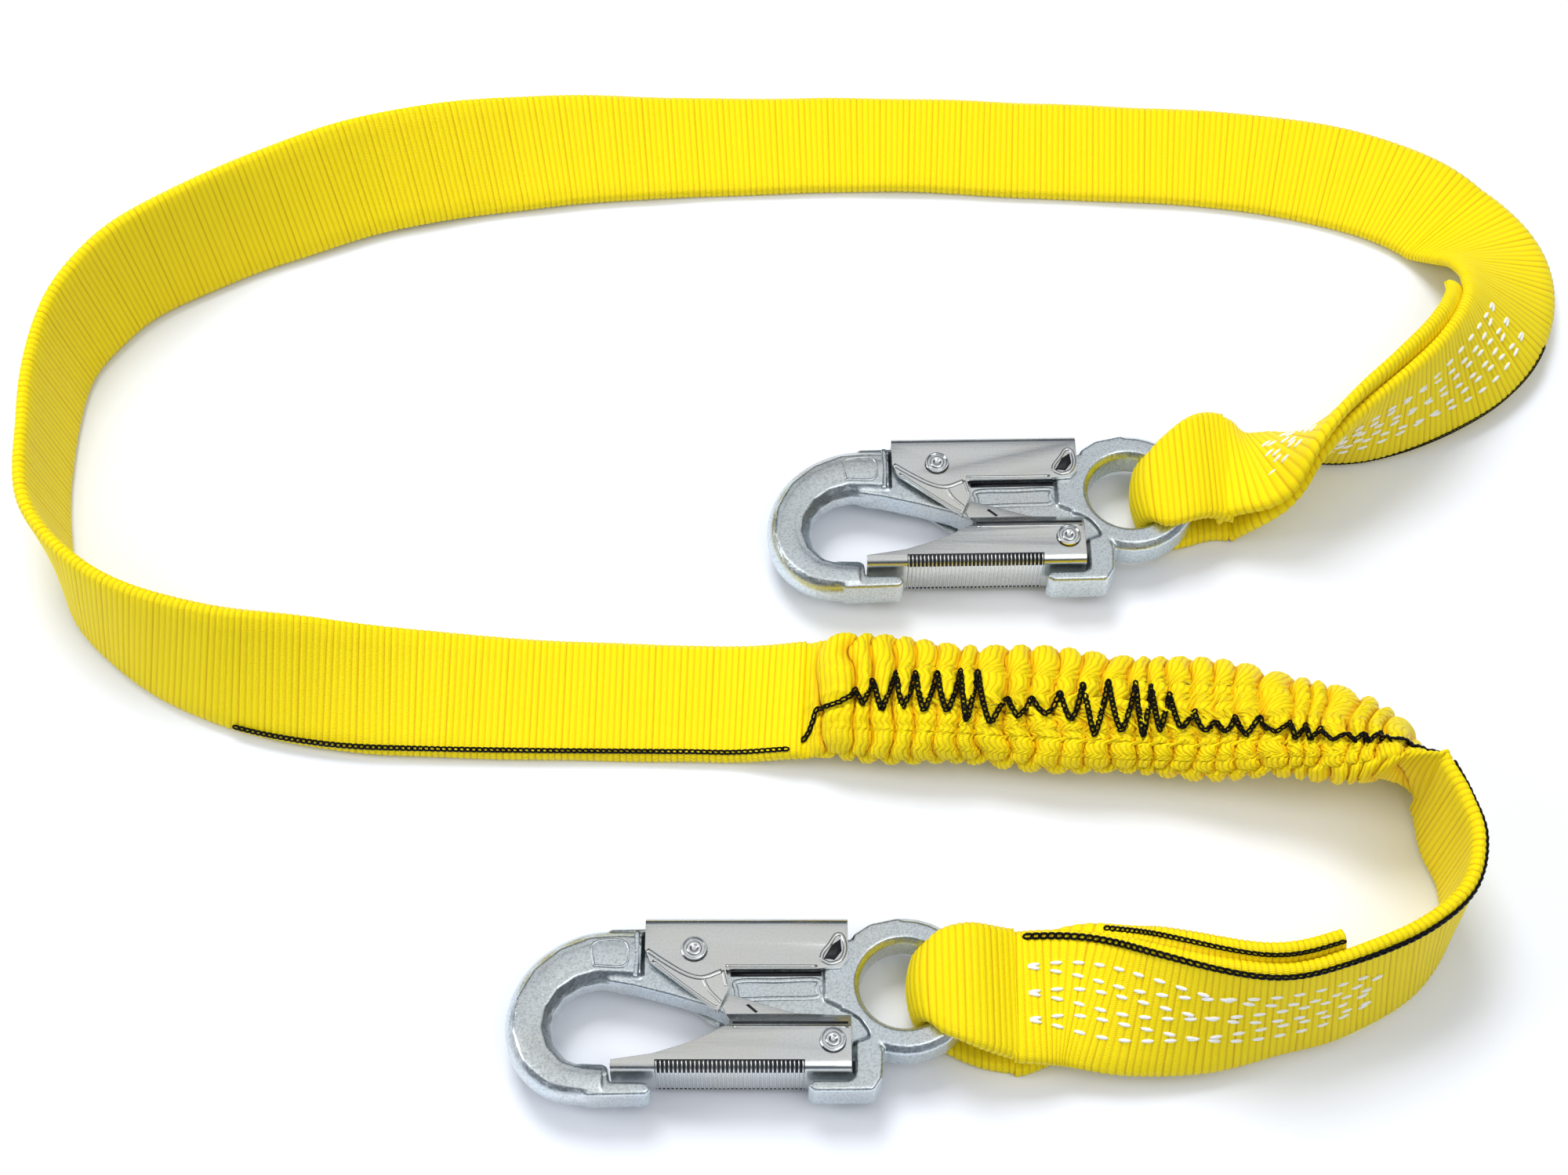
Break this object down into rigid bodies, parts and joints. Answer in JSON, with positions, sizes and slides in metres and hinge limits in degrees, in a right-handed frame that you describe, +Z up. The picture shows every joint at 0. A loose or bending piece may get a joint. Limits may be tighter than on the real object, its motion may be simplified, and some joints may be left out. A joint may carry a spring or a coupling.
{
  "type": "shock-absorbing safety lanyard",
  "caption": "Yellow tubular webbing lanyard with a gathered energy-absorbing pack and a double-locking snap hook looped on each end.",
  "frame": {"origin": "on the floor plane, under the centre of the laid-out lanyard's bounding box", "axes": "+X along the hooks from bend to eye, +Y away from the pack's side of the S, +Z up from the floor it lies on"},
  "size_m": [0.5516, 0.411, 0.0495],
  "materials": {
    "yellow_webbing": "matte ribbed weave",
    "core_webbing": "matte weave",
    "black_thread": "chain stitch",
    "white_thread": "lock stitch",
    "forged_zinc": "forged, bright zinc plated",
    "pressed_zinc": "pressed sheet, zinc plated",
    "rivet_steel": "rolled rivet head",
    "spring_steel": "spring wire"
  },
  "bodies": {
    "webbing": {"webbing_lower": "yellow_webbing", "webbing_upper": "yellow_webbing", "webbing_tail_a": "yellow_webbing", "webbing_tail_b": "yellow_webbing", "webbing_loop_a": "yellow_webbing", "webbing_loop_b": "yellow_webbing", "shock_pack_cover": "yellow_webbing", "shock_pack_core": "core_webbing", "shock_pack_seam": "black_thread", "edge_seam_lower": "black_thread", "edge_seam_upper": "black_thread", "edge_seam_tail_a": "black_thread", "lap_stitching_a_front": "white_thread", "lap_stitching_a_back": "white_thread", "lap_stitching_b_front": "white_thread", "lap_stitching_b_back": "white_thread"},
    "hook_a": {"hook_a_body": "forged_zinc", "hook_a_gate_rivet": "rivet_steel", "hook_a_lock_rivet": "rivet_steel", "hook_a_gate_spring": "spring_steel", "hook_a_lock_spring": "spring_steel"},
    "gate_a": {"hook_a_gate": "pressed_zinc"},
    "lever_a": {"hook_a_lock_lever": "pressed_zinc"},
    "hook_b": {"hook_b_body": "forged_zinc", "hook_b_gate_rivet": "rivet_steel", "hook_b_lock_rivet": "rivet_steel", "hook_b_gate_spring": "spring_steel", "hook_b_lock_spring": "spring_steel"},
    "gate_b": {"hook_b_gate": "pressed_zinc"},
    "lever_b": {"hook_b_lock_lever": "pressed_zinc"}
  },
  "joints": [
    {"name": "hook_a_swing", "type": "hinge", "parent": "webbing", "child": "hook_a", "pos_m": [0.0489, -0.16789, 0.0116], "axis": [0, 1, 0], "range_deg": [0, 35], "deforming": ["webbing_loop_a"]},
    {"name": "hook_a_gate_hinge", "type": "hinge", "parent": "hook_a", "child": "gate_a", "pos_m": [0.00675, -0.18849, 0.0116], "axis": [0, 0, -1], "range_deg": [0, 23], "stiffness_Nm_per_rad": 0.25, "springref_deg": -34.38},
    {"name": "hook_a_lock_hinge", "type": "hinge", "parent": "hook_a", "child": "lever_a", "pos_m": [-0.03755, -0.15699, 0.0116], "axis": [0, 0, -1], "range_deg": [0, 3.5], "stiffness_Nm_per_rad": 0.1, "springref_deg": -28.65},
    {"name": "hook_b_swing", "type": "hinge", "parent": "webbing", "child": "hook_b", "pos_m": [0.13172, 0.01802, 0.0116], "axis": [-0.0175, 0.9998, 0], "range_deg": [0, 35], "deforming": ["webbing_loop_b"]},
    {"name": "hook_b_gate_hinge", "type": "hinge", "parent": "hook_b", "child": "gate_b", "pos_m": [0.08993, -0.00331, 0.0116], "axis": [0, 0, -1], "range_deg": [0, 23], "stiffness_Nm_per_rad": 0.25, "springref_deg": -34.38},
    {"name": "hook_b_lock_hinge", "type": "hinge", "parent": "hook_b", "child": "lever_b", "pos_m": [0.04509, 0.02741, 0.0116], "axis": [0, 0, -1], "range_deg": [0, 3.5], "stiffness_Nm_per_rad": 0.1, "springref_deg": -28.65}
  ],
  "couplings": [
    {"joint": "hook_a_lock_hinge", "follows": "hook_a_gate_hinge", "ratio": 0.15},
    {"joint": "hook_b_lock_hinge", "follows": "hook_b_gate_hinge", "ratio": 0.15}
  ]
}
